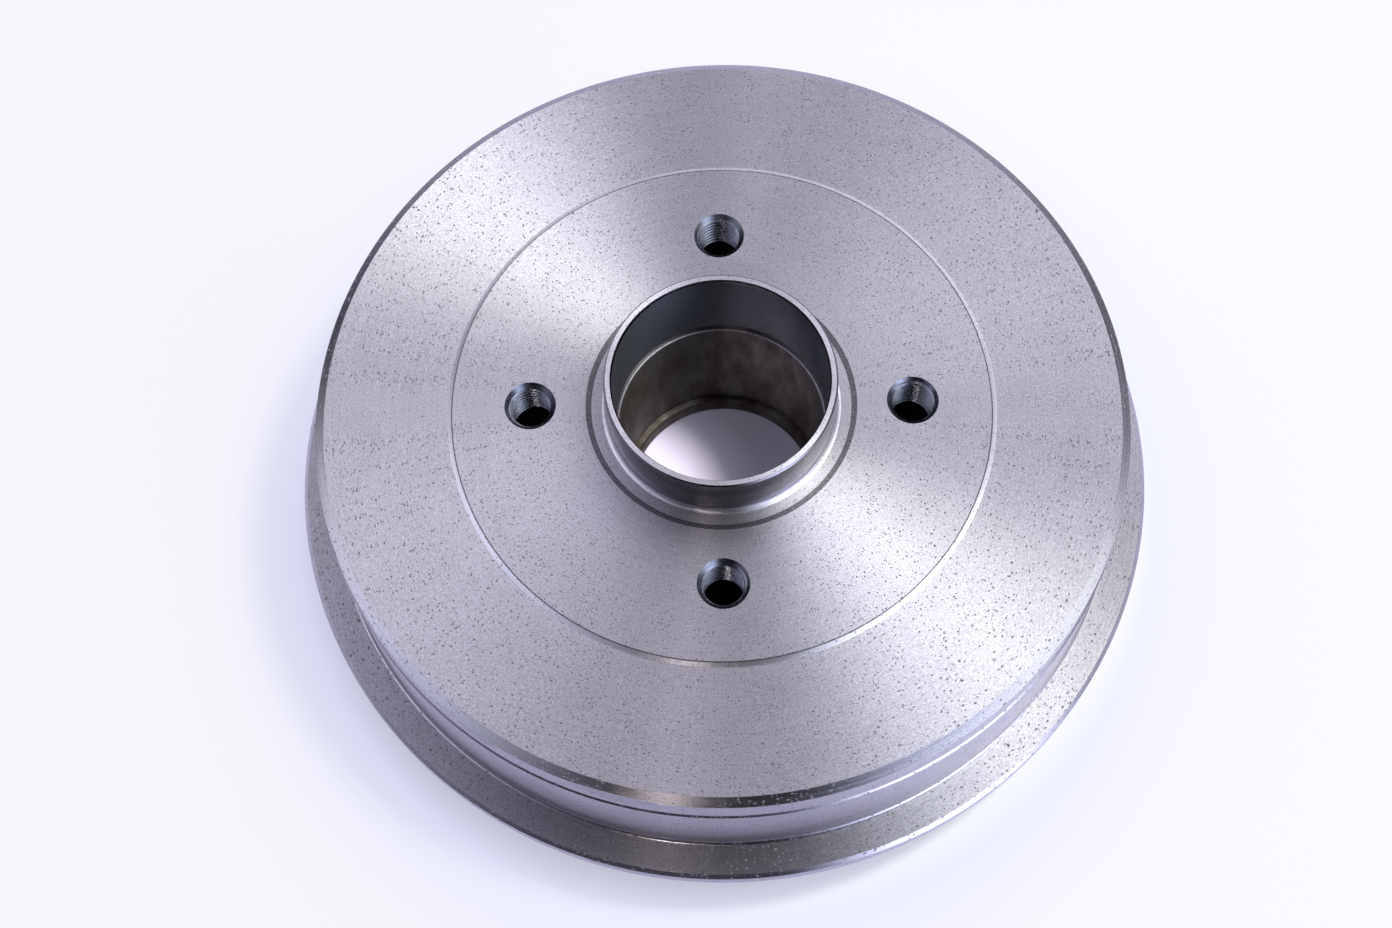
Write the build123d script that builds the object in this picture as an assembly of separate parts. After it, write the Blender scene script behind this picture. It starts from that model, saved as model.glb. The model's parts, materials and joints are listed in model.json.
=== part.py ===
from build123d import *
from math import atan, cos, degrees, radians, sin
import os

# Rear brake drum with the wheel hub cast in one piece with it.
# Millimetres. The origin is the centre of the face that the wheel is bolted
# against, and +Z points out of the car, along the axle, so that the drum's
# open side looks down -Z and the drum stands on its open rim.
# Every section point below is (radius, level): distance from the axle, and height.

# Wheel side
wheel_bolts = 4
bolt_circle_diameter = 100.0
bolt_size = 12.0                # M12 thread in the wheel-bolt holes
bolt_pitch = 1.5
bolt_countersink_margin = 0.75   # how far the countersink reaches outside the thread
wheel_pad_diameter = 141.0      # raised face that the wheel sits against
wheel_pad_height = 0.8          # how far it stands above the rest of the face
wheel_pad_step_width = 1.5      # the step slopes, as the turning tool's round nose left it
web_thickness = 12.5            # at the wheel bolts

# Collar that centres the wheel
collar_wall = 2.1               # round the grease cap, which makes the collar 60 mm across
collar_height = 15.0
collar_edge = 0.45              # chamfer round the outside of the collar's rim
collar_lead_in_width = 0.4      # steep chamfer that the grease cap is started in
collar_lead_in_depth = 1.5
collar_foot_radius = 1.6
recess_width = 2.4              # flat ring between the foot's fillet and the slope
recess_depth = 0.45
recess_slope_width = 1.5

# Bore: grease cap seat, retaining ring groove, bearing seat
bearing_diameter = 55.0
bearing_width = 43.0
cap_seat_clearance = 0.4        # the bearing passes through the cap's seat
ring_groove_depth = 1.5
ring_groove_width = 2.15
ring_groove_level = 10.1        # from the wheel face down to the groove
seat_relief_width = 2.6         # undercut where the bearing seat meets its shoulder
seat_relief_depth = 0.6
shoulder_width = 1.5            # ledge that the bearing stands on
shoulder_rounding = 1.2
shoulder_thickness = 5.5
hub_end_edge = 1.0

# Hub barrel
hub_wall = 8.5                  # round the bearing, at the free end
hub_taper = 2.5                 # how much wider the barrel is at its root
hub_root_radius = 6.0

# Outside of the drum
drum_wall = 5.6                 # outside the friction surface, above the flange
corner_width = 2.4              # bevel between the face and the side
corner_height = 1.45
side_step = 0.55                # the side's upper band is this much smaller
side_step_level = 10.3          # from the wheel face down to the step
flange_level = 36.9             # from the wheel face down to the flange
flange_width = 9.55
flange_thickness = 5.3
flange_edge = 1.05
flange_edge_break = 0.4
flange_foot_radius = 1.8
skirt_wall = 9.4                # below the flange, outside the friction surface
skirt_foot_width = 2.0          # cast bevel in the corner under the flange
drum_depth = 61.5               # from the wheel face down to the open rim
rim_edge = 1.0

# Inside of the drum
friction_diameter = 203.2
rim_lead_in = 1.5
friction_relief_depth = 0.6     # run-out for the tool that bores the friction surface
friction_relief_width = 9.2     # from the web down to the friction surface
inside_corner_radius = 4.0
outer_web_thickness = 8.0       # away from the wheel bolts
bolt_boss_margin = 8.5          # thick web kept outside the bolt holes
bolt_boss_slope = 4.5           # run of the slope from the thick web to the thin one

# Two places on the side where the stubs left by casting were ground off
gate_marks = ((255.0, 6.6, 0.26), (235.0, 3.4, 0.16))  # angle, half width in degrees, depth
gate_mark_height = 6.2

# Derived sizes
tapping_radius = (bolt_size - bolt_pitch) / 2
countersink_radius = bolt_size / 2 + bolt_countersink_margin
pad_radius = wheel_pad_diameter / 2
friction_radius = friction_diameter / 2
lower_side_radius = friction_radius + drum_wall
upper_side_radius = lower_side_radius - side_step
face_radius = upper_side_radius - corner_width
flange_radius = lower_side_radius + flange_width
relief_radius = friction_radius + friction_relief_depth
skirt_radius = friction_radius + skirt_wall
bearing_radius = bearing_diameter / 2
cap_seat_radius = bearing_radius + cap_seat_clearance
collar_radius = cap_seat_radius + collar_wall
ring_groove_radius = bearing_radius + ring_groove_depth
seat_relief_radius = bearing_radius + seat_relief_depth
shoulder_radius = bearing_radius - shoulder_width
hub_end_radius = bearing_radius + hub_wall
bolt_boss_radius = bolt_circle_diameter / 2 + countersink_radius + bolt_boss_margin

ring_groove_top = -ring_groove_level
ring_groove_floor = ring_groove_top - ring_groove_width
shoulder_level = ring_groove_floor - bearing_width
hub_end_level = shoulder_level - shoulder_thickness
rim_level = -drum_depth
friction_end = rim_level + rim_lead_in
face_level = -wheel_pad_height
recess_level = -recess_depth
recess_radius = collar_radius + collar_foot_radius + recess_width
flange_top = -flange_level
flange_bottom = flange_top - flange_thickness
bolt_boss_level = -web_thickness
outer_web_level = face_level - outer_web_thickness
friction_top = outer_web_level - friction_relief_width


def collar_outline():
    """From the grease cap's lead-in over the collar's rim to its foot."""
    return [
        (cap_seat_radius, collar_height - collar_lead_in_depth),
        (cap_seat_radius + collar_lead_in_width, collar_height),
        (collar_radius - collar_edge, collar_height),
        (collar_radius, collar_height - collar_edge),
        (collar_radius, recess_level),
    ]


def wheel_face_outline():
    """Recess round the collar, wheel pad, and the lower face outside the pad."""
    return [
        (recess_radius, recess_level),
        (recess_radius + recess_slope_width, 0),
        (pad_radius, 0),
        (pad_radius + wheel_pad_step_width, face_level),
        (face_radius, face_level),
    ]


def side_outline():
    """Bevelled corner, stepped side, flange, skirt and open rim."""
    return [
        (upper_side_radius, face_level - corner_height),
        (upper_side_radius, -side_step_level),
        (lower_side_radius, -side_step_level - side_step),
        (lower_side_radius, flange_top),
        (flange_radius - flange_edge, flange_top),
        (flange_radius, flange_top - flange_edge),
        (flange_radius, flange_bottom + flange_edge_break),
        (flange_radius - flange_edge_break, flange_bottom),
        (skirt_radius + skirt_foot_width, flange_bottom),
        (skirt_radius, flange_bottom - skirt_foot_width),
        (skirt_radius, rim_level + rim_edge),
        (skirt_radius - rim_edge, rim_level),
    ]


def inside_outline():
    """Rim, friction surface and its run-out, web and hub barrel."""
    return [
        (friction_radius + rim_lead_in, rim_level),
        (friction_radius, friction_end),
        (friction_radius, friction_top),
        (relief_radius, friction_top + friction_relief_depth),
        (relief_radius, outer_web_level),
        (bolt_boss_radius + bolt_boss_slope, outer_web_level),
        (bolt_boss_radius, bolt_boss_level),
        (hub_end_radius + hub_taper, bolt_boss_level),
        (hub_end_radius, hub_end_level + hub_end_edge),
        (hub_end_radius - hub_end_edge, hub_end_level),
    ]


def bore_outline():
    """From the hub's free end up through shoulder, bearing seat and ring groove."""
    return [
        (shoulder_radius + hub_end_edge / 2, hub_end_level),
        (shoulder_radius, hub_end_level + hub_end_edge / 2),
        (shoulder_radius, shoulder_level),
        (seat_relief_radius, shoulder_level),
        (seat_relief_radius, shoulder_level + seat_relief_width),
        (bearing_radius, shoulder_level + seat_relief_width),
        (bearing_radius, ring_groove_floor),
        (ring_groove_radius, ring_groove_floor),
        (ring_groove_radius, ring_groove_top),
        (cap_seat_radius, ring_groove_top),
    ]


def rounded(section, point, radius):
    """The section with its corner at the point filleted."""
    corner = section.vertices().sort_by_distance((*point, 0))[0]
    return fillet(corner, radius)


def half_section():
    """Everything that is turned or cast round the axle, as one closed outline."""
    outside = collar_outline() + wheel_face_outline() + side_outline()
    inside = inside_outline() + bore_outline()
    section = make_face(Polyline(*outside, *inside, close=True))
    corners = (
        ((collar_radius, recess_level), collar_foot_radius),
        ((lower_side_radius, flange_top), flange_foot_radius),
        ((relief_radius, outer_web_level), inside_corner_radius),
        ((hub_end_radius + hub_taper, bolt_boss_level), hub_root_radius),
        ((shoulder_radius, shoulder_level), shoulder_rounding),
    )
    for point, radius in corners:
        section = rounded(section, point, radius)
    return section


def wheel_bolt_hole():
    """Tapping-size hole with its countersink, on the axle, ready to be placed.

    It runs on past the web, so that it also clears the fillet round the hub's root.
    """
    countersink_depth = countersink_radius - tapping_radius
    overshoot = 1.0
    drill_end = bolt_boss_level - hub_root_radius - overshoot
    points = [
        (0, overshoot),
        (countersink_radius + overshoot, overshoot),
        (tapping_radius, -countersink_depth),
        (tapping_radius, drill_end),
        (0, drill_end),
    ]
    return revolve(Plane.XZ * make_face(Polyline(*points, close=True)), Axis.Z)


def gate_mark(angle, half_width, depth):
    """What the grinder took off: the side outside a flatter cylinder that leans out below."""
    top = face_level - corner_height
    half_chord = upper_side_radius * sin(radians(half_width))
    side_bulge = upper_side_radius * (1 - cos(radians(half_width)))
    ground_bulge = side_bulge - depth
    ground_radius = (half_chord ** 2 + ground_bulge ** 2) / (2 * ground_bulge)
    lean = degrees(atan(depth / gate_mark_height))
    ground_side = Pos(-ground_radius, 0, 0) * Cylinder(ground_radius, 6 * gate_mark_height)
    ground_side = Pos(upper_side_radius - depth, 0, top) * Rot(0, -lean, 0) * ground_side
    standing = (Align.CENTER, Align.CENTER, Align.MIN)
    upper_band = Box(8 * depth, 3 * half_chord, side_step_level + face_level, align=standing)
    upper_band = Pos(upper_side_radius, 0, -side_step_level) * upper_band
    return Rot(0, 0, angle) * (upper_band - ground_side)


def brake_drum():
    """The whole casting: turned section, wheel-bolt holes and gate marks."""
    drum = revolve(Plane.XZ * half_section(), Axis.Z)
    for place in PolarLocations(bolt_circle_diameter / 2, wheel_bolts):
        drum -= place * wheel_bolt_hole()
    for angle, half_width, depth in gate_marks:
        drum -= gate_mark(angle, half_width, depth)
    return drum


if __name__ == "__main__":
    os.makedirs("parts", exist_ok=True)
    drum = brake_drum()
    drum.label = "brake_drum"
    export_step(drum, "parts/brake_drum.step")
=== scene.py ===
import json
from math import asin, atan, ceil, cos, degrees, pi, radians, sin, tan

import bmesh
import bpy
from mathutils import Matrix, Vector


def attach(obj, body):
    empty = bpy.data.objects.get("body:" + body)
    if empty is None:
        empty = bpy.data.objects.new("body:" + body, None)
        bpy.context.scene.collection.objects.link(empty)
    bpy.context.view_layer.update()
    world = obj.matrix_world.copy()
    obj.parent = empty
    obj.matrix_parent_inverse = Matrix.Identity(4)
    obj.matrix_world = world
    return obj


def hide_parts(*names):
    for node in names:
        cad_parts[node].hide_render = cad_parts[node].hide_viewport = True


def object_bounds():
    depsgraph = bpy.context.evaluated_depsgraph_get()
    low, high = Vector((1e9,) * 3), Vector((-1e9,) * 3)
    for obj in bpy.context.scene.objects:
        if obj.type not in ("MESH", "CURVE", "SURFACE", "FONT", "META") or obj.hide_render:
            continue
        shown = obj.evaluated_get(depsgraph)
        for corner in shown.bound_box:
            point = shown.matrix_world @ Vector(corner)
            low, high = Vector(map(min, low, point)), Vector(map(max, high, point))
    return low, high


# The turned casting of a brake drum with its wheel hub, in metres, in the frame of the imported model:
# the origin is the centre of the face that the wheel sits against, and +Z points towards the wheel.

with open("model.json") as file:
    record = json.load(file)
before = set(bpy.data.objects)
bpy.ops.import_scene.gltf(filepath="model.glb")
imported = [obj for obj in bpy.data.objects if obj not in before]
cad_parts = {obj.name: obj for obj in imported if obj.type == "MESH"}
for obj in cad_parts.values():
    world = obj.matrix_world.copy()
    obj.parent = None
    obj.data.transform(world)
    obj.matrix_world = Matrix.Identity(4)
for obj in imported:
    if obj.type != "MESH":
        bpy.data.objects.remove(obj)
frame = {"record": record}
CAD_LOW, CAD_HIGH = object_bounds()
MOUNTS = {mount["name"]: mount for mount in frame["record"]["mounts"]}

bl_info = {
    "name": "Brake drum",
    "version": (1, 0, 0),
    "blender": (4, 5, 0),
    "location": "3D View > Sidebar > Brake drum",
    "description": "Models a turned cast-iron brake drum with its hub, and a plain stage for it",
    "category": "Add Mesh",
}

MM = 0.001


def mount_size(mount, key):
    """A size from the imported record, in metres."""
    return MOUNTS[mount]["dims"][key] * MM


def length(name, description, default):
    """A property for a length, whose default is in millimetres."""
    return bpy.props.FloatProperty(
        name=name, description=description, default=default * MM, unit="LENGTH", precision=5)


def linear(hex_colour):
    """An sRGB colour such as "8a8a90" as linear red, green, blue."""
    channels = [int(hex_colour[i:i + 2], 16) / 255 for i in (0, 2, 4)]
    return tuple(c / 12.92 if c <= 0.04045 else ((c + 0.055) / 1.055) ** 2.4 for c in channels)


def colour(name, description, hex_colour):
    """A property for a colour, whose default is written as sRGB."""
    return bpy.props.FloatVectorProperty(
        name=name, description=description, default=linear(hex_colour), subtype="COLOR",
        min=0, max=1, size=3)


# ---------------------------------------------------------------- sizes and finishes

class DrumSizes(bpy.types.PropertyGroup):
    """Sizes of the casting that its looks need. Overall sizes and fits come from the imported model."""

    wheel_pad_diameter: length("Wheel pad", "Raised face that the wheel sits against", 141)
    wheel_pad_height: length("Pad height", "How far the pad stands above the face", 0.8)
    # the line is drawn dark by the darkened finish: painted shade
    pad_edge: length("Pad edge", "Dark burred line round the pad", 0.35)
    pad_slope: length("Pad slope", "Run of the slope from the pad's edge to the face", 1.15)
    tool_nose: length("Tool nose", "Radius that the turning tool leaves at the pad's foot", 0.8)
    web_thickness: length("Web", "Thickness at the wheel bolts", 12.5)
    outer_web_thickness: length("Outer web", "Thickness away from the wheel bolts", 8)

    collar_edge: length("Collar edge", "Chamfer round the outside of the collar's rim", 0.45)
    collar_lead_in_width: length("Lead-in width", "Chamfer inside the collar's rim", 0.4)
    collar_lead_in_depth: length("Lead-in depth", "How deep that chamfer goes", 0.8)
    collar_foot: length("Collar foot", "Fillet at the collar's foot", 1.6)
    recess_width: length("Recess", "Flat ring round the collar's foot", 2.4)
    recess_depth: length("Recess depth", "How far that ring lies under the pad", 0.45)
    recess_slope: length("Recess slope", "Run of the slope from the ring to the pad", 1.5)

    groove_depth: length("Ring groove", "Depth of the retaining ring's groove", 1.5)
    groove_width: length("Groove width", "Width of the retaining ring's groove", 2.15)
    groove_level: length("Groove level", "From the wheel face down to the groove", 10.1)
    seat_edge: length("Seat edge", "Chamfer between that groove and the bearing's seat", 0.3)
    bearing_width: length("Bearing", "Width of the bearing that the seat holds", 43)
    relief_width: length("Seat relief", "Undercut where the seat meets its shoulder", 2.6)
    relief_depth: length("Relief depth", "Depth of that undercut", 0.6)
    shoulder_width: length("Shoulder", "Ledge that the bearing stands on", 1.5)
    shoulder_round: length("Shoulder rounding", "Rounding of the shoulder's edge", 1.2)
    shoulder_thickness: length("Shoulder thickness", "From the ledge to the hub's end", 5.5)
    hub_wall: length("Hub wall", "Wall of the hub barrel at its free end", 8.5)
    hub_taper: length("Hub taper", "How much wider the barrel is at its root", 2.5)
    hub_root: length("Hub root", "Fillet where the barrel meets the web", 6)
    hub_edge: length("Hub edge", "Chamfer round the hub's free end", 1)

    side_radius: length("Side", "Radius of the side's lower band", 107.2)
    side_step: length("Side step", "The upper band is this much smaller", 0.55)
    side_step_level: length("Step level", "From the wheel face down to the step", 10.3)
    corner_width: length("Corner width", "Bevel between the face and the side", 2.4)
    corner_height: length("Corner height", "Height of that bevel", 1.45)
    flange_level: length("Flange level", "From the wheel face down to the flange", 36.9)
    flange_thickness: length("Flange", "Thickness of the flange", 5.3)
    flange_edge: length("Flange edge", "Chamfer round the top of the flange", 1.05)
    flange_break: length("Flange break", "Chamfer round the bottom of the flange", 0.4)
    flange_foot: length("Flange foot", "Fillet where the side meets the flange", 1.8)
    skirt_radius: length("Skirt", "Radius of the side under the flange", 111)
    skirt_foot: length("Skirt foot", "Bevel where the skirt meets the flange", 2)
    rim_edge: length("Rim edge", "Chamfer round the open rim", 1)

    friction_radius: length("Friction radius", "Radius that the brake shoes press on", 101.6)
    friction_relief: length("Friction relief", "Depth of the run-out above it", 0.6)
    friction_relief_width: length("Run-out", "From the web down to the friction surface", 9.2)
    rim_lead_in: length("Rim lead-in", "Chamfer inside the open rim", 1.5)
    inside_corner: length("Inside corner", "Fillet between the web and the side", 4)
    boss_margin: length("Boss margin", "Thick web kept outside the bolt holes", 8.5)
    boss_slope: length("Boss slope", "Run of the slope from thick web to thin", 4.5)

    bolt_size: length("Wheel bolt", "Outer diameter of the bolts' thread", 12)
    bolt_pitch: length("Pitch", "Pitch of the bolts' thread", 1.5)
    countersink_margin: length("Countersink", "How far it reaches outside the thread", 0.75)

    edge_break: length("Edge break", "What deburring takes off a sharp turned edge", 0.12)
    round_steps: bpy.props.IntProperty(
        name="Steps round", description="Facets round the axle", default=360, min=24)


class DrumColours(bpy.types.PropertyGroup):
    """Colours of the casting's finishes and of the stage."""

    turned: colour("Turned iron", "Grey iron fresh from the lathe", "b8b4bc")
    pit: colour("Pits", "Graphite pits that turning opened", "3c3a42")
    bored: colour("Bored iron", "Fine-bored seats, stained by the protective oil", "6b6663")
    cap_seat: colour("Cap seat", "The bluish seat over them", "5f636c")
    stain: colour("Oil stain", "Dried protective oil in the bore", "4a3f38")
    thread: colour("Thread", "Walls of the tapped holes", "7b7d89")
    skin: colour("Cast skin", "Grey iron as it left the mould", "57544f")
    floor: colour("Floor", "Paper that the drum stands on", "d6d6c9")
    floor_blue: colour("Floor, reflected", "The same paper as the metal mirrors it", "b9b8f6")
    # the paper's own tint in the hub stands in for the light that reaches it there: painted light
    hub_floor: colour("Floor in the hub", "The paper that shows through the hub", "f0e6ff")
    shade: colour("Shade", "What the paper's shade is lifted with", "e2e3fd")
    far_shade: colour("Far shade", "The same where no shadow falls", "e9e8f5")


# ---------------------------------------------------------------- small helpers

def add(tree, kind, *values, output=0, named=None, **settings):
    """Adds a shader node and returns one of its output sockets.

    The values go to the input sockets in their order, and the named ones by name or number.
    Each is a number, a vector, a colour or another node's socket. Settings are the node's own.
    """
    node = tree.nodes.new("ShaderNode" + kind)
    for name, value in settings.items():
        setattr(node, name, value)
    for key, value in [*enumerate(values), *(named or {}).items()]:
        socket = node.inputs[key]
        if isinstance(value, bpy.types.NodeSocket):
            tree.links.new(value, socket)
        elif socket.type == "RGBA":
            socket.default_value = (*value, 1)
        else:
            socket.default_value = value
    return node.outputs[output] if node.outputs else None


def new_material(name):
    """An empty node material and its tree."""
    material = bpy.data.materials.new(name)
    material.use_nodes = True
    material.node_tree.nodes.clear()
    return material, material.node_tree


def mesh_object(name, bm):
    """A bmesh as a linked object at the origin."""
    mesh = bpy.data.meshes.new(name)
    bm.to_mesh(mesh)
    bm.free()
    piece = bpy.data.objects.new(name, mesh)
    bpy.context.scene.collection.objects.link(piece)
    return piece


def apply_modifiers(piece):
    """Puts what the modifiers make into the piece's own mesh, and clears them."""
    bpy.context.view_layer.update()
    shaped = piece.evaluated_get(bpy.context.evaluated_depsgraph_get())
    mesh = bpy.data.meshes.new_from_object(shaped)
    old = piece.data
    piece.modifiers.clear()
    piece.data = mesh
    bpy.data.meshes.remove(old)


def cut(piece, cutters):
    """Takes each cutter out of the piece and removes it."""
    for cutter in cutters:
        boolean = piece.modifiers.new("cut", "BOOLEAN")
        boolean.operation = "DIFFERENCE"
        boolean.solver = "MANIFOLD"
        boolean.object = cutter
    apply_modifiers(piece)
    for cutter in cutters:
        mesh = cutter.data
        bpy.data.objects.remove(cutter)
        bpy.data.meshes.remove(mesh)


SHARP_EDGE = 35           # degrees: faces that meet at less are shaded as one


def smooth_shading(piece):
    """Smooth shading that stays sharp where faces meet at more than SHARP_EDGE."""
    mesh = piece.data
    mesh.polygons.foreach_set("use_smooth", [True] * len(mesh.polygons))
    mesh.set_sharp_from_angle(angle=radians(SHARP_EDGE))
    weighted = piece.modifiers.new("weighted", "WEIGHTED_NORMAL")
    weighted.keep_sharp = True
    apply_modifiers(piece)


# ---------------------------------------------------------------- the turned section
# An outline is a list of (radius, level, rounding), and the rounding is a fillet's radius.

def wheel_side_outline(s):
    """What the lathe turned from outside: collar, recess, pad, face, side, flange and rim."""
    e = s.edge_break
    seat, collar = mount_size("cap_seat", "r_mm"), mount_size("wheel_collar", "r_mm")
    collar_top, flange, rim = CAD_HIGH.z, CAD_HIGH.x, CAD_LOW.z
    pad, face = s.wheel_pad_diameter / 2, -s.wheel_pad_height
    recess = collar + s.collar_foot + s.recess_width
    upper_side = s.side_radius - s.side_step
    flange_top, flange_bottom = -s.flange_level, -s.flange_level - s.flange_thickness
    return [
        (seat, collar_top - s.collar_lead_in_depth, 0),
        (seat + s.collar_lead_in_width, collar_top, e / 3),
        (collar - s.collar_edge, collar_top, e / 3),
        (collar, collar_top - s.collar_edge, e),
        (collar, -s.recess_depth, s.collar_foot),
        (recess, -s.recess_depth, e),
        (recess + s.recess_slope, 0, e),
        (pad - s.pad_edge / 3, 0, e / 3),
        (pad + s.pad_edge * 2 / 3, -s.pad_edge / 3, e / 3),
        (pad + s.pad_edge * 2 / 3 + s.pad_slope, face, s.tool_nose),
        (upper_side - s.corner_width, face, e),
        (upper_side, face - s.corner_height, e),
        (upper_side, -s.side_step_level, e),
        (s.side_radius, -s.side_step_level - s.side_step, e),
        (s.side_radius, flange_top, s.flange_foot),
        (flange - s.flange_edge, flange_top, e),
        (flange, flange_top - s.flange_edge, e),
        (flange, flange_bottom + s.flange_break, e),
        (flange - s.flange_break, flange_bottom, e),
        (s.skirt_radius + s.skirt_foot, flange_bottom, e),
        (s.skirt_radius, flange_bottom - s.skirt_foot, e),
        (s.skirt_radius, rim + s.rim_edge, e),
        (s.skirt_radius - s.rim_edge, rim, e),
        (s.friction_radius + s.rim_lead_in, rim, 0),
    ]


def friction_outline(s):
    """The bored surface that the brake shoes press on, and its run-out."""
    top = -s.wheel_pad_height - s.outer_web_thickness - s.friction_relief_width
    return [
        (s.friction_radius + s.rim_lead_in, CAD_LOW.z, 0),
        (s.friction_radius, CAD_LOW.z + s.rim_lead_in, s.edge_break),
        (s.friction_radius, top, s.edge_break),
        (s.friction_radius + s.friction_relief, top + s.friction_relief, 0),
    ]


def cast_outline(s):
    """What stays as cast inside: the side's top, the web, its boss, and the hub barrel."""
    relief = s.friction_radius + s.friction_relief
    outer_web = -s.wheel_pad_height - s.outer_web_thickness
    bolt_circle = mount_size("wheel_bolts", "pcd_mm") / 2
    boss = bolt_circle + s.bolt_size / 2 + s.countersink_margin + s.boss_margin
    hub = mount_size("bearing_seat", "r_mm") + s.hub_wall
    return [
        (relief, outer_web - s.friction_relief_width + s.friction_relief, 0),
        (relief, outer_web, s.inside_corner),
        (boss + s.boss_slope, outer_web, s.inside_corner),
        (boss, -s.web_thickness, s.inside_corner),
        (hub + s.hub_taper, -s.web_thickness, s.hub_root),
        (hub, hub_end(s) + s.hub_edge, 0),
    ]


def hub_end(s):
    """Level of the hub's free end."""
    return -s.groove_level - s.groove_width - s.bearing_width - s.shoulder_thickness


def bore_outline(s):
    """The hub's end, the shoulder's lip, the bearing seat, the ring groove and the cap seat."""
    e = s.edge_break
    bearing, cap_seat = mount_size("bearing_seat", "r_mm"), mount_size("cap_seat", "r_mm")
    end = hub_end(s)
    shoulder_level = end + s.shoulder_thickness
    groove_top, groove_floor = -s.groove_level, -s.groove_level - s.groove_width
    hub = bearing + s.hub_wall
    return [
        (hub, end + s.hub_edge, 0),
        (hub - s.hub_edge, end, e),
        (bearing - s.shoulder_width + s.hub_edge / 2, end, e),
        (bearing - s.shoulder_width, end + s.hub_edge / 2, e),
        (bearing - s.shoulder_width, shoulder_level, s.shoulder_round),
        (bearing + s.relief_depth, shoulder_level, e),
        (bearing + s.relief_depth, shoulder_level + s.relief_width, e),
        (bearing, shoulder_level + s.relief_width, e),
        (bearing, groove_floor - s.seat_edge, e / 2),
        (bearing + s.seat_edge, groove_floor, e / 2),
        (bearing + s.groove_depth, groove_floor, e),
        (bearing + s.groove_depth, groove_top, e),
        (cap_seat, groove_top, e / 2),
        (cap_seat, CAD_HIGH.z - s.collar_lead_in_depth, 0),
    ]


def spun(outline, steps, material_index):
    """A mesh of the outline, with its corners rounded, spun once round the axle."""
    bm = bmesh.new()
    corners = [bm.verts.new((radius, 0, level)) for radius, level, _ in outline]
    for start, end in zip(corners, corners[1:]):
        bm.edges.new((start, end))
    points = [corner.co.copy() for corner in corners]
    for i in range(1, len(outline) - 1):
        rounding = outline[i][2]
        turn = (points[i] - points[i - 1]).angle(points[i + 1] - points[i])
        bmesh.ops.bevel(
            bm, geom=[corners[i]], offset=rounding * tan(turn / 2), offset_type="OFFSET",
            affect="VERTICES", segments=max(2, ceil(turn / radians(15))) if rounding > MM / 2 else 2,
            profile=0.5, material=-1)
    bmesh.ops.spin(
        bm, geom=bm.verts[:] + bm.edges[:], axis=(0, 0, 1), cent=(0, 0, 0), angle=2 * pi,
        steps=steps, use_merge=True)
    for face in bm.faces:
        face.material_index = material_index
    mesh = bpy.data.meshes.new("spun")
    bm.to_mesh(mesh)
    bm.free()
    return mesh


# ---------------------------------------------------------------- cutters

def thread_cutter(s):
    """The space inside a tapped hole: a screw-shaped solid of the bolt thread's size.

    One pitch of the thread's outline is spun upwards along a helix, and both ends are cut flat.
    """
    major, minor = s.bolt_size / 2, mount_size("wheel_bolts", "hole_r_mm")
    crest = s.bolt_pitch / 8
    flank = (major - minor) * tan(radians(30))
    root = s.bolt_pitch - crest - 2 * flank
    low, high = -s.web_thickness - s.hub_root, s.bolt_pitch
    turns = ceil((high - low) / s.bolt_pitch) + 2
    steps = 48
    outline = [
        (minor, 0), (minor, root / 2), (major, root / 2 + flank),
        (major, root / 2 + flank + crest), (minor, s.bolt_pitch - root / 2), (minor, s.bolt_pitch),
    ]
    bm = bmesh.new()
    start = low - s.bolt_pitch
    verts = [bm.verts.new((radius, 0, start + level)) for radius, level in outline]
    edges = [bm.edges.new(pair) for pair in zip(verts, verts[1:])]
    bmesh.ops.spin(
        bm, geom=verts + edges, axis=(0, 0, 1), cent=(0, 0, 0), angle=2 * pi * turns,
        dvec=(0, 0, s.bolt_pitch / steps), steps=steps * turns, use_duplicate=False)
    bmesh.ops.remove_doubles(bm, verts=bm.verts, dist=0.001 * MM)
    for level, side in ((low, -1), (high, 1)):
        bmesh.ops.bisect_plane(
            bm, geom=bm.verts[:] + bm.edges[:] + bm.faces[:], plane_co=(0, 0, level),
            plane_no=(0, 0, side), clear_outer=True)
    bmesh.ops.holes_fill(bm, edges=[e for e in bm.edges if e.is_boundary], sides=0)
    bmesh.ops.recalc_face_normals(bm, faces=bm.faces)
    return mesh_object("thread_cutter", bm)


def countersink_cutter(s):
    """A 45-degree cone over a tapped hole."""
    radius = s.bolt_size / 2 + s.countersink_margin
    over, under = 1 * MM, 2 * MM
    bm = bmesh.new()
    bmesh.ops.create_cone(
        bm, cap_ends=True, segments=96, radius1=radius - under, radius2=radius + over,
        depth=over + under)
    bmesh.ops.translate(bm, vec=(0, 0, (over - under) / 2), verts=bm.verts)
    return mesh_object("countersink_cutter", bm)


# Two places on the side's upper band where the stubs left by casting were ground off:
# angle from +X and half width in degrees, and depth in millimetres.
GATE_MARKS = ((255, 6.6, 0.26), (235, 3.4, 0.16))
GATE_MARK_HEIGHT = 6.2 * MM


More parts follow.
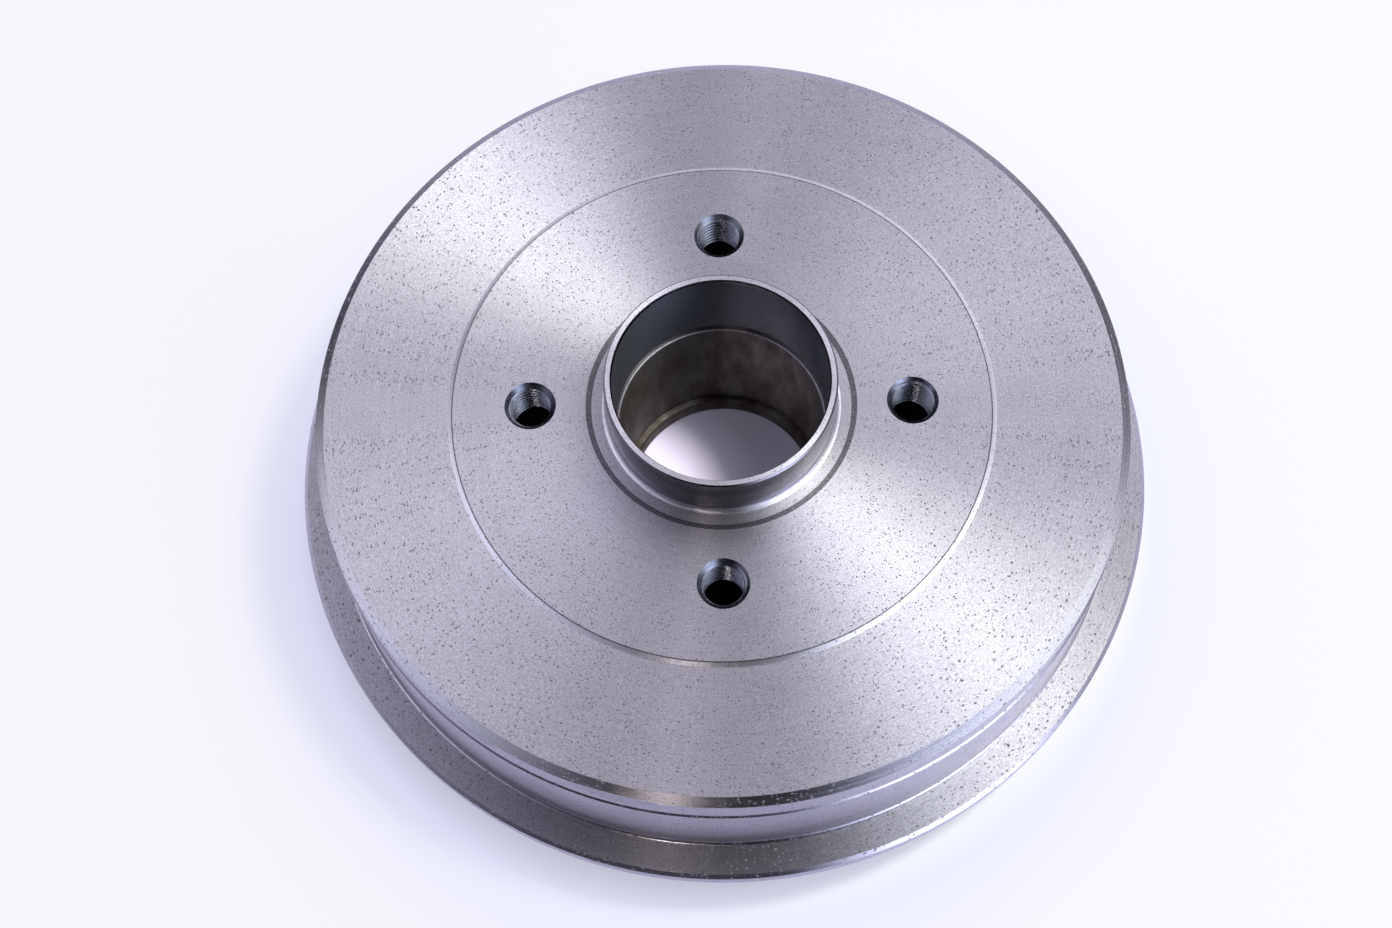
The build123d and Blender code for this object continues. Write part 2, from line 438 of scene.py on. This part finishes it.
def gate_mark_cutter(s, angle, half_width, depth):
    """What the grinder took off: the side outside a flatter cylinder that leans out below."""
    side = s.side_radius - s.side_step
    top = -s.wheel_pad_height - s.corner_height
    half_chord = side * sin(radians(half_width))
    side_bulge = side * (1 - cos(radians(half_width)))
    ground_bulge = side_bulge - depth
    ground = (half_chord ** 2 + ground_bulge ** 2) / (2 * ground_bulge)
    # the cutter reaches past the mark on every side
    spread = 1.3 * asin(half_chord / ground)
    reach = 8 * depth
    low, high = -1.15 * GATE_MARK_HEIGHT, 0.5 * MM
    bm = bmesh.new()
    section = [(ground, low), (ground + reach, low), (ground + reach, high), (ground, high)]
    face = bm.faces.new([bm.verts.new((x, 0, z)) for x, z in section])
    bmesh.ops.rotate(bm, verts=bm.verts, cent=(0, 0, 0), matrix=Matrix.Rotation(-spread, 3, "Z"))
    bmesh.ops.spin(
        bm, geom=[face] + face.verts[:] + face.edges[:], axis=(0, 0, 1), cent=(0, 0, 0),
        angle=2 * spread, steps=32)
    bmesh.ops.recalc_face_normals(bm, faces=bm.faces)
    lean = Matrix.Rotation(-atan(depth / GATE_MARK_HEIGHT), 4, "Y")
    place = Matrix.Rotation(radians(angle), 4, "Z") @ Matrix.Translation((side - depth, 0, top))
    bmesh.ops.transform(bm, matrix=place @ lean @ Matrix.Translation((-ground, 0, 0)), verts=bm.verts)
    return mesh_object("gate_mark_cutter", bm)


# ---------------------------------------------------------------- finishes
# Every pattern reads the Object coordinates in millimetres, and its bump is in millimetres too.

TURNED_REACH = 55       # mm: at this radius a turned pattern is as long round the axle as across it
GRAIN_SIZE = 0.35       # mm
GRAIN_HEIGHT = 0.007    # mm
PIT_DEPTH = 0.06        # mm


def millimetres(tree):
    """Where a point lies on the casting."""
    metres = add(tree, "TexCoord", output="Object")
    return add(tree, "VectorMath", metres, operation="SCALE", named={"Scale": 1 / MM})


def turned_place(tree):
    """Where a point lies on the turned shape, in millimetres.

    Returns its place, the way round the axle, the distance along the section, and the point
    where the section, laid out straight, stands on a cylinder: patterns there follow the tool.
    """
    place = millimetres(tree)
    level = add(tree, "SeparateXYZ", place, output="Z")
    flat = add(tree, "VectorMath", place, (1, 1, 0), operation="MULTIPLY")
    radius = add(tree, "VectorMath", flat, operation="LENGTH", output="Value")
    outward = add(tree, "VectorMath", flat, operation="NORMALIZE")
    around = add(tree, "VectorMath", (0, 0, 1), outward, operation="CROSS_PRODUCT")
    along = add(tree, "Math", radius, level, operation="SUBTRACT")
    across = add(tree, "CombineXYZ", named={"Z": along})
    unrolled = add(tree, "VectorMath", outward, (TURNED_REACH,) * 3, across, operation="MULTIPLY_ADD")
    return place, around, along, unrolled


def pits(tree, spot, spacing, size):
    """1 inside round pits of up to that radius, about that spacing apart, and 0 outside."""
    from_middle = add(tree, "TexVoronoi", named={"Vector": spot, "Scale": 1 / spacing})
    chance = add(tree, "SeparateColor", from_middle.node.outputs["Color"])
    share = add(tree, "Math", chance, 2, operation="POWER")
    radius = add(tree, "Math", share, size / spacing, operation="MULTIPLY")
    inside = add(tree, "Math", radius, from_middle, operation="SUBTRACT")
    return add(tree, "MapRange", inside, 0, 0.1 * size / spacing)


def turned_iron(name, c, feed, roughness, groove, anisotropy, shade=1, mottle=0.24):
    """Grey cast iron, turned: round tool lines, opened graphite pits and a satin gloss.

    The lines spread a reflection across themselves, so a lamp draws bright fans on the face.
    The real feed of about 0.2 mm and the real pits of about 0.1 mm are too fine to show, so the
    lines are drawn feed apart, in millimetres as the groove's depth is, and the pits larger.
    Shade is how bright the metal is beside the face's, and mottle how much that varies.
    """
    material, tree = new_material(name)
    place, around, along, unrolled = turned_place(tree)
    turns = add(tree, "Math", along, 2 * pi / feed, operation="MULTIPLY")
    turns = add(tree, "Math", turns, operation="SINE")
    rub = add(tree, "VectorMath", unrolled, (0.05, 0.05, 1.2 / feed), operation="MULTIPLY")
    rub = add(tree, "TexNoise", named={"Vector": rub, "Scale": 1, "Detail": 2})
    grain = add(tree, "TexNoise", named={"Vector": unrolled, "Scale": 1 / GRAIN_SIZE, "Detail": 2})
    cloud = add(tree, "TexNoise", named={"Vector": place, "Scale": 1 / 12, "Detail": 3})
    small = pits(tree, unrolled, spacing=0.6, size=0.24)
    large = pits(tree, unrolled, spacing=2.1, size=0.3)
    pit = add(tree, "Math", small, 0.7, operation="MULTIPLY")
    pit = add(tree, "Math", large, 0.6, pit, operation="MULTIPLY_ADD")

    value = add(tree, "MapRange", grain, 0.3, 0.7, 1 - mottle, 1 + mottle)
    for pattern, change in ((cloud, 0.03), (rub, 0.08)):
        varied = add(tree, "MapRange", pattern, 0.3, 0.7, 1 - change, 1 + change)
        value = add(tree, "Math", value, varied, operation="MULTIPLY")
    clean = tuple(shade * channel for channel in c.turned)
    base = add(tree, "HueSaturation", named={"Color": clean, "Value": value})
    base = add(tree, "Mix", named={0: pit, 6: base, 7: c.pit}, data_type="RGBA", output=2)

    gloss = add(tree, "MapRange", rub, 0.3, 0.7, roughness - 0.03, roughness + 0.03)
    gloss = add(tree, "Math", pit, 0.25, gloss, operation="MULTIPLY_ADD")
    height = add(tree, "Math", turns, groove, operation="MULTIPLY")
    height = add(tree, "Math", rub, 2 * groove, height, operation="MULTIPLY_ADD")
    height = add(tree, "Math", grain, GRAIN_HEIGHT, height, operation="MULTIPLY_ADD")
    height = add(tree, "Math", pit, -PIT_DEPTH, height, operation="MULTIPLY_ADD")
    normal = add(tree, "Bump", named={"Height": height, "Distance": MM, "Strength": 1})
    metal = add(tree, "MapRange", pit, 0, 1, 1, 0.4)
    shader = add(tree, "BsdfPrincipled", base, metal, gloss, named={
        "Normal": normal, "Tangent": around, "Anisotropic": anisotropy, "Anisotropic Rotation": 0.25})
    add(tree, "OutputMaterial", shader)
    return material


CAP_SEAT_TINT_ENDS, BEARING_SEAT_TINT_STARTS = -6, -14    # mm from the wheel face


def bored_iron(c):
    """Grey iron bored to size: dark satin, bluish at the top, browned by dried oil lower down.

    The boring tool's own lines are too fine to show, so they are drawn about 0.3 mm apart.
    """
    material, tree = new_material("oiled_bored_grey_iron")
    place, around, _, unrolled = turned_place(tree)
    rub = add(tree, "VectorMath", unrolled, (0.05, 0.05, 3), operation="MULTIPLY")
    rub = add(tree, "TexNoise", named={"Vector": rub, "Scale": 1, "Detail": 2})
    grain = add(tree, "TexNoise", named={"Vector": place, "Scale": 1 / 0.5, "Detail": 2})
    runs = add(tree, "VectorMath", place, (1, 1, 0.35), operation="MULTIPLY")
    blotch = add(tree, "TexNoise", named={"Vector": runs, "Scale": 1 / 6, "Detail": 4, "Roughness": 0.6})
    level = add(tree, "SeparateXYZ", place, output="Z")
    low = add(tree, "MapRange", level, CAP_SEAT_TINT_ENDS, BEARING_SEAT_TINT_STARTS)
    stained = add(tree, "MapRange", blotch, 0.35, 0.62)
    strength = add(tree, "MapRange", low, 0, 1, 0.25, 0.85)
    stained = add(tree, "Math", stained, strength, operation="MULTIPLY")
    base = add(tree, "Mix", named={0: low, 6: c.cap_seat, 7: c.bored}, data_type="RGBA", output=2)
    base = add(tree, "Mix", named={0: stained, 6: base, 7: c.stain}, data_type="RGBA", output=2)
    value = add(tree, "MapRange", grain, 0.3, 0.7, 0.9, 1.1)
    base = add(tree, "HueSaturation", named={"Color": base, "Value": value})
    gloss = add(tree, "Math", stained, 0.12, 0.38, operation="MULTIPLY_ADD")
    height = add(tree, "Math", rub, 0.006, operation="MULTIPLY")
    height = add(tree, "Math", grain, 0.004, height, operation="MULTIPLY_ADD")
    normal = add(tree, "Bump", named={"Height": height, "Distance": MM, "Strength": 1})
    shader = add(tree, "BsdfPrincipled", base, 1, gloss, named={
        "Normal": normal, "Tangent": around, "Anisotropic": 0.9, "Anisotropic Rotation": 0.25})
    add(tree, "OutputMaterial", shader)
    return material


def tapped_iron(c):
    """Grey iron cut by the tap and the countersink: glossy blue-grey, with darker torn patches."""
    material, tree = new_material("tapped_grey_iron")
    place = millimetres(tree)
    fine = add(tree, "TexNoise", named={"Vector": place, "Scale": 1 / 0.4, "Detail": 3})
    patch = add(tree, "TexNoise", named={"Vector": place, "Scale": 1 / 2.2})
    torn = add(tree, "MapRange", patch, 0.5, 0.7, 0, 0.5)
    base = add(tree, "Mix", named={0: torn, 6: c.thread, 7: c.pit}, data_type="RGBA", output=2)
    value = add(tree, "MapRange", fine, 0.3, 0.7, 0.85, 1.15)
    base = add(tree, "HueSaturation", named={"Color": base, "Value": value})
    gloss = add(tree, "MapRange", fine, 0.3, 0.7, 0.22, 0.34)
    normal = add(tree, "Bump", named={"Height": fine, "Distance": 0.008 * MM, "Strength": 1})
    shader = add(tree, "BsdfPrincipled", base, 1, gloss, named={"Normal": normal})
    add(tree, "OutputMaterial", shader)
    return material


def cast_skin(c):
    """The mould's own surface: sandy, dull and dark, with soft lumps.

    The mould's sand is too fine to show, so its grains are drawn 0.7 mm across.
    """
    material, tree = new_material("grey_iron_cast_skin")
    place = millimetres(tree)
    sand = add(tree, "TexNoise", named={
        "Vector": place, "Scale": 1 / 0.7, "Detail": 3, "Roughness": 0.6})
    lumps = add(tree, "TexNoise", named={"Vector": place, "Scale": 1 / 5})
    value = add(tree, "MapRange", sand, 0.3, 0.7, 0.82, 1.12)
    cloud = add(tree, "MapRange", lumps, 0.3, 0.7, 0.92, 1.08)
    value = add(tree, "Math", value, cloud, operation="MULTIPLY")
    base = add(tree, "HueSaturation", named={"Color": c.skin, "Value": value})
    height = add(tree, "Math", sand, 0.09, operation="MULTIPLY")
    height = add(tree, "Math", lumps, 0.25, height, operation="MULTIPLY_ADD")
    normal = add(tree, "Bump", named={"Height": height, "Distance": MM, "Strength": 1})
    gloss = add(tree, "MapRange", sand, 0.3, 0.7, 0.75, 0.6)
    shader = add(tree, "BsdfPrincipled", base, 0.55, gloss, named={"Normal": normal})
    add(tree, "OutputMaterial", shader)
    return material


(FACED, TURNED, CHAMFERED, FINELY_FACED, SMOOTH, BRIGHTENED, DARKENED, FRICTION, SKIN, BORED,
 TAPPED) = range(11)


def finishes(c):
    """The casting's materials, in the order of the numbers above."""
    return (
        # the faces: a fine spiral of tool lines, which draws each lamp into a bright fan
        turned_iron("faced_grey_iron", c, feed=0.6, roughness=0.5, groove=0.002, anisotropy=1),
        # the walls, turned finer: satin that mirrors the floor in soft streaks
        turned_iron("fine_turned_grey_iron", c, feed=0.4, roughness=0.34, groove=0.001,
                    anisotropy=0.9, mottle=0.14),
        # the chamfers, cut in one pass: glossier, so bright and dark lie close together
        turned_iron("chamfered_grey_iron", c, feed=0.4, roughness=0.22, groove=0.0005,
                    anisotropy=0.6, shade=1.05, mottle=0.12),
        # the collar's end and the seat's edge: finely faced, a shade duller than the faces
        turned_iron("finely_faced_grey_iron", c, feed=0.4, roughness=0.5, groove=0.0005,
                    anisotropy=0.9, shade=0.95),
        # the collar's outside, turned smooth: dark, with clear streaks of what stands round it
        turned_iron("smooth_turned_grey_iron", c, feed=0.4, roughness=0.18, groove=0.0002,
                    anisotropy=0.5, shade=0.5, mottle=0.1),
        # burnished by the tool's round nose, and brightened above the faces' tone: partly a real
        # burnish, partly painted highlight
        turned_iron("burnished_grey_iron", c, feed=0.4, roughness=0.34, groove=0.0003,
                    anisotropy=0.85, shade=1.4, mottle=0.1),
        # rough edges drawn dark: painted shade on the recess's slope, the pad's edge line and the
        # groove's ledge
        turned_iron("torn_grey_iron", c, feed=0.4, roughness=0.5, groove=0.001,
                    anisotropy=1, shade=0.33, mottle=0.5),
        # bored for the brake shoes, and the ground gate marks: plain grey satin
        turned_iron("bored_grey_iron", c, feed=0.35, roughness=0.38, groove=0.002,
                    anisotropy=0.6, shade=0.85),
        cast_skin(c), bored_iron(c), tapped_iron(c))


# The slopes that part one finish from another, in degrees from level.
FACED_BELOW, CHAMFERED_BELOW = 25, 70
FOOT_BRIGHTENED_FROM, FOOT_BRIGHTENED_TO = 14, 75
LEDGE_BELOW = 72.5


def slope(face):
    """How many degrees a face slopes: 0 when it looks up along the axle, 90 on a wall."""
    return degrees(face.normal.angle(Vector((0, 0, 1))))


def turned_finish(s, face):
    """Which turned finish a face of the wheel's side has, by where it is and how it slopes."""
    middle = face.calc_center_median()
    radius = middle.xy.length
    collar = mount_size("wheel_collar", "r_mm")
    recess = collar + s.collar_foot + s.recess_width
    pad = s.wheel_pad_diameter / 2 - s.pad_edge / 3
    # the recess's slope and the pad's edge line get the darkened finish: painted shade
    if recess < radius < recess + s.recess_slope or pad < radius < pad + s.pad_edge:
        return DARKENED
    # the pad's sloped foot is brightened: partly painted highlight
    if pad < radius < pad + s.pad_edge + s.pad_slope:
        return BRIGHTENED
    # the middle slopes of the collar's foot fillet are brightened too: painted highlight
    on_foot = collar < radius < collar + s.collar_foot
    if on_foot and FOOT_BRIGHTENED_FROM < slope(face) < FOOT_BRIGHTENED_TO:
        return BRIGHTENED
    if slope(face) < FACED_BELOW:
        return FINELY_FACED if middle.z > MM else FACED
    if radius < recess:
        return SMOOTH
    return CHAMFERED if slope(face) < CHAMFERED_BELOW else TURNED


def bored_finish(s, face):
    """Which finish a face of the bore has: only the groove's ledge and its edge aren't bored."""
    middle = face.calc_center_median()
    below_groove = middle.z < -s.groove_level - s.groove_width - MM
    if below_groove or slope(face) > LEDGE_BELOW:
        return BORED
    on_edge = middle.xy.length < mount_size("bearing_seat", "r_mm") + s.seat_edge
    # the groove's ledge gets the darkened finish: painted shade in the groove
    return FINELY_FACED if on_edge else DARKENED


# ---------------------------------------------------------------- operators

CASTING = "drum_casting"


class OBJECT_OT_drum_casting(bpy.types.Operator):
    """Spins the drum's section, and gives each turned, bored or cast run its finish"""

    bl_idname = "object.drum_casting"
    bl_label = "Drum casting"

    def execute(self, context):
        s, c = context.scene.drum_sizes, context.scene.drum_colours
        runs = (wheel_side_outline(s), friction_outline(s), cast_outline(s), bore_outline(s))
        bm = bmesh.new()
        for finish, outline in zip((TURNED, FRICTION, SKIN, BORED), runs):
            run = spun(outline, s.round_steps, finish)
            bm.from_mesh(run)
            bpy.data.meshes.remove(run)
        bmesh.ops.remove_doubles(bm, verts=bm.verts, dist=0.001 * MM)
        bmesh.ops.recalc_face_normals(bm, faces=bm.faces)
        for face in bm.faces:
            if face.material_index == TURNED:
                face.material_index = turned_finish(s, face)
            elif face.material_index == BORED:
                face.material_index = bored_finish(s, face)
        casting = mesh_object(CASTING, bm)
        for finish in finishes(c):
            casting.data.materials.append(finish)
        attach(casting, "root")
        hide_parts("brake_drum")
        return {"FINISHED"}


class OBJECT_OT_drum_bolt_holes(bpy.types.Operator):
    """Cuts the tapped and countersunk wheel-bolt holes into the casting"""

    bl_idname = "object.drum_bolt_holes"
    bl_label = "Wheel-bolt holes"

    def execute(self, context):
        s = context.scene.drum_sizes
        casting = bpy.data.objects[CASTING]
        pattern = MOUNTS["wheel_bolts"]["dims"]
        cutters = [thread_cutter(s), countersink_cutter(s)]
        for cutter in cutters[:]:
            cutter.data.materials.append(casting.data.materials[TAPPED])
            cutter.data.transform(Matrix.Translation((pattern["pcd_mm"] * MM / 2, 0, 0)))
            for i in range(1, pattern["count"]):
                copy = bpy.data.objects.new(cutter.name, cutter.data.copy())
                copy.data.transform(Matrix.Rotation(2 * pi * i / pattern["count"], 4, "Z"))
                context.collection.objects.link(copy)
                cutters.append(copy)
        cut(casting, cutters)
        return {"FINISHED"}


class OBJECT_OT_drum_gate_marks(bpy.types.Operator):
    """Grinds the two gate marks into the side, and smooths the whole casting's shading"""

    bl_idname = "object.drum_gate_marks"
    bl_label = "Gate marks"

    def execute(self, context):
        s = context.scene.drum_sizes
        casting = bpy.data.objects[CASTING]
        cutters = [gate_mark_cutter(s, angle, half, depth * MM) for angle, half, depth in GATE_MARKS]
        for cutter in cutters:
            cutter.data.materials.append(casting.data.materials[FRICTION])
        cut(casting, cutters)
        smooth_shading(casting)
        return {"FINISHED"}


# ---------------------------------------------------------------- stage

CAMERA_AIM = Vector((-6.69, -17.26, 0)) * MM
CAMERA_DISTANCE = 505.7 * MM
CAMERA_SIDE = -2.586      # degrees, how far the view turns round the drum from looking along +Y
CAMERA_HEIGHT = 66.884    # degrees above the horizon
CAMERA_ROLL = -3.204      # degrees
CAMERA_LENS = 50.71       # mm
SENSOR_WIDTH = 36         # mm
FLOOR_REACH = 3           # metres from the drum


def direction(azimuth, elevation):
    """The way from the drum towards a place at that azimuth from +X and elevation, in degrees."""
    a, e = radians(azimuth), radians(elevation)
    return Vector((cos(a) * cos(e), sin(a) * cos(e), sin(e)))


# Soft lights all round, but only one small lamp on the side that the camera stands on:
# azimuth, elevation and reach in degrees, colour, and strength at the middle.
SOFT_LIGHTS = (
    (10, 68, 15, "fdffee", 16),       # key softbox
    (345, 60, 25, "e6f1ff", 4),       # white board beside it
    (90, 50, 50, "eaebff", 2.4),      # white paper that curves up behind the drum
    (60, 42, 35, "fffef8", 2.4),      # window behind it
    (20, 35, 30, "f0f0ff", 1),        # bench on the right
    (350, 30, 30, "f8ffff", 1.9),     # white wall on the right
    (315, 12, 35, "dce5ff", 5),       # blue wall under it
    (190, 40, 45, "e6eaff", 1.5),     # left softbox
    (165, 32, 28, "fafeff", 1),       # its second panel
    (256, 50, 4, "fff4f0", 30),       # small lamp behind the camera
)


def studio_world():
    """A dark room with soft round lights that fade out towards their edges."""
    world = bpy.data.worlds.new("studio")
    world.use_nodes = True
    tree = world.node_tree
    tree.nodes.clear()
    way = add(tree, "TexCoord", output="Generated")
    total = (0, 0, 0)
    for azimuth, elevation, reach, tint, strength in SOFT_LIGHTS:
        near = add(tree, "VectorMath", way, direction(azimuth, elevation),
                   operation="DOT_PRODUCT", output="Value")
        off = add(tree, "Math", near, operation="ARCCOSINE")
        glow = add(tree, "MapRange", off, 0, radians(reach), strength, 0,
                   interpolation_type="SMOOTHSTEP")
        glow = add(tree, "CombineXYZ", glow, glow, glow)
        total = add(tree, "VectorMath", linear(tint), glow, total, operation="MULTIPLY_ADD")
    add(tree, "OutputWorld", add(tree, "Background", total))
    return world


# How much of the paper's look is its own glow, and where that changes: the distances are
# measured outwards from the drum's outline. Where the glow is weaker round the drum, that darker
# ring is painted shade, and its bluer tint is a painted tint of the shadow. The faint glow in
# the hub is painted light.
LIFT, LIFT_IN_HUB = 0.8, 0.07
LIFT_FROM, LIFT_TO = -21 * MM, 7 * MM     # from none to LIFT
FAR_FROM, FAR_TO = 8 * MM, 34 * MM        # from the shade's tint to the far shade's


def paper():
    """Matt white paper: nearly white to the camera, and bluer where the metal mirrors it.

    Part of what is seen of it is its own glow. That keeps it even away from the drum, while the
    drum still throws its shadow. Round the drum the glow is weaker and has the shade's tint: a
    painted shade, bluer than the paper beyond. In the hub the paper has its own tint and a faint
    glow: painted light there.
    """
    colours = bpy.context.scene.drum_colours
    material, tree = new_material("matt_white_paper")
    place = add(tree, "TexCoord", output="Object")
    flat = add(tree, "VectorMath", place, (1, 1, 0), operation="MULTIPLY")
    radius = add(tree, "VectorMath", flat, operation="LENGTH", output="Value")
    hub = mount_size("bearing_seat", "r_mm")
    inside = add(tree, "MapRange", radius, hub, hub + MM, 1, 0)
    # the glow fades towards the drum: painted shade round its foot, on top of the real shadow
    outside = add(tree, "MapRange", radius, CAD_HIGH.x + LIFT_FROM, CAD_HIGH.x + LIFT_TO, 0, LIFT)
    camera = add(tree, "LightPath", output="Is Camera Ray")
    base = colours.floor_blue
    for share, tint in ((camera, colours.floor), (inside, colours.hub_floor)):
        base = add(tree, "Mix", named={0: share, 6: base, 7: tint}, data_type="RGBA", output=2)
    shader = add(tree, "BsdfPrincipled", base, named={"Roughness": 0.9})
    far = add(tree, "MapRange", radius, CAD_HIGH.x + FAR_FROM, CAD_HIGH.x + FAR_TO)
    # the bluer tint near the drum is a painted tint of the shadow
    tone = add(tree, "Mix", named={0: far, 6: colours.shade, 7: colours.far_shade},
               data_type="RGBA", output=2)
    glow = add(tree, "Emission", tone)
    seen = add(tree, "Math", camera, camera.node.outputs["Is Glossy Ray"], operation="MAXIMUM")
    seen = add(tree, "Math", seen, camera.node.outputs["Is Transmission Ray"], operation="MAXIMUM")
    # the faint glow in the hub is painted light
    lift = add(tree, "Math", inside, LIFT_IN_HUB, outside, operation="MULTIPLY_ADD")
    lift = add(tree, "Math", seen, lift, operation="MULTIPLY")
    add(tree, "OutputMaterial", add(tree, "MixShader", lift, shader, glow))
    return material


KEY_WAY = (10, 66.4)      # azimuth and elevation of the key's lamp for the paper
KEY_DISTANCE = 1.3        # metres from the hub's rim
KEY_SIZE = 0.2            # metres across
KEY_POWER = 17            # watts
KEY_TINT = "fffffa"


def key_on_paper(floor):
    """The key's light on the paper only, so that the drum's shadow there keeps its edge."""
    data = bpy.data.lights.new("key_on_paper", "AREA")
    data.shape = "DISK"
    data.size = KEY_SIZE
    data.energy = KEY_POWER
    data.color = linear(KEY_TINT)
    lamp = bpy.data.objects.new("key_on_paper", data)
    way = direction(*KEY_WAY)
    lamp.location = Vector((0, 0, CAD_HIGH.z)) + way * KEY_DISTANCE
    lamp.rotation_euler = way.to_track_quat("Z", "Y").to_euler()
    bpy.context.scene.collection.objects.link(lamp)
    lit = bpy.data.collections.new("lit_by_key_on_paper")
    lit.objects.link(floor)
    lamp.light_linking.receiver_collection = lit


class SCENE_OT_drum_stage(bpy.types.Operator):
    """Sets up the plain pale floor, the soft studio light and the camera"""

    bl_idname = "scene.drum_stage"
    bl_label = "Stage"

    def execute(self, context):
        scene = context.scene
        bm = bmesh.new()
        bmesh.ops.create_grid(bm, x_segments=1, y_segments=1, size=FLOOR_REACH)
        bmesh.ops.translate(bm, vec=(0, 0, CAD_LOW.z), verts=bm.verts)
        floor = mesh_object("floor", bm)
        floor.data.materials.append(paper())
        scene.world = studio_world()
        key_on_paper(floor)

        data = bpy.data.cameras.new("camera")
        data.lens, data.sensor_width, data.sensor_fit = CAMERA_LENS, SENSOR_WIDTH, "HORIZONTAL"
        camera = bpy.data.objects.new("camera", data)
        back = direction(270 - CAMERA_SIDE, CAMERA_HEIGHT)
        camera.location = CAMERA_AIM + back * CAMERA_DISTANCE
        turn = (-back).to_track_quat("-Z", "Y").to_matrix().to_4x4()
        camera.rotation_euler = (turn @ Matrix.Rotation(radians(CAMERA_ROLL), 4, "Z")).to_euler()
        scene.collection.objects.link(camera)
        scene.camera = camera
        scene.view_settings.view_transform = "Standard"
        return {"FINISHED"}


# ---------------------------------------------------------------- add-on

OPERATORS = (
    OBJECT_OT_drum_casting, OBJECT_OT_drum_bolt_holes, OBJECT_OT_drum_gate_marks,
    SCENE_OT_drum_stage)


class VIEW3D_PT_brake_drum(bpy.types.Panel):
    """Lists the drum's operators, sizes and colours"""

    bl_label = "Brake drum"
    bl_space_type = "VIEW_3D"
    bl_region_type = "UI"
    bl_category = "Brake drum"

    def draw(self, context):
        for operator in OPERATORS:
            self.layout.operator(operator.bl_idname)
        for group in (context.scene.drum_sizes, context.scene.drum_colours):
            box = self.layout.box()
            for name in group.__annotations__:
                box.prop(group, name)


CLASSES = (DrumSizes, DrumColours, *OPERATORS, VIEW3D_PT_brake_drum)


def register():
    for cls in CLASSES:
        bpy.utils.register_class(cls)
    bpy.types.Scene.drum_sizes = bpy.props.PointerProperty(type=DrumSizes)
    bpy.types.Scene.drum_colours = bpy.props.PointerProperty(type=DrumColours)


def unregister():
    del bpy.types.Scene.drum_sizes
    del bpy.types.Scene.drum_colours
    for cls in reversed(CLASSES):
        bpy.utils.unregister_class(cls)


def main():
    register()
    bpy.ops.object.drum_casting()
    bpy.ops.object.drum_bolt_holes()
    bpy.ops.object.drum_gate_marks()
    bpy.ops.scene.drum_stage()


if __name__ == "__main__":
    main()
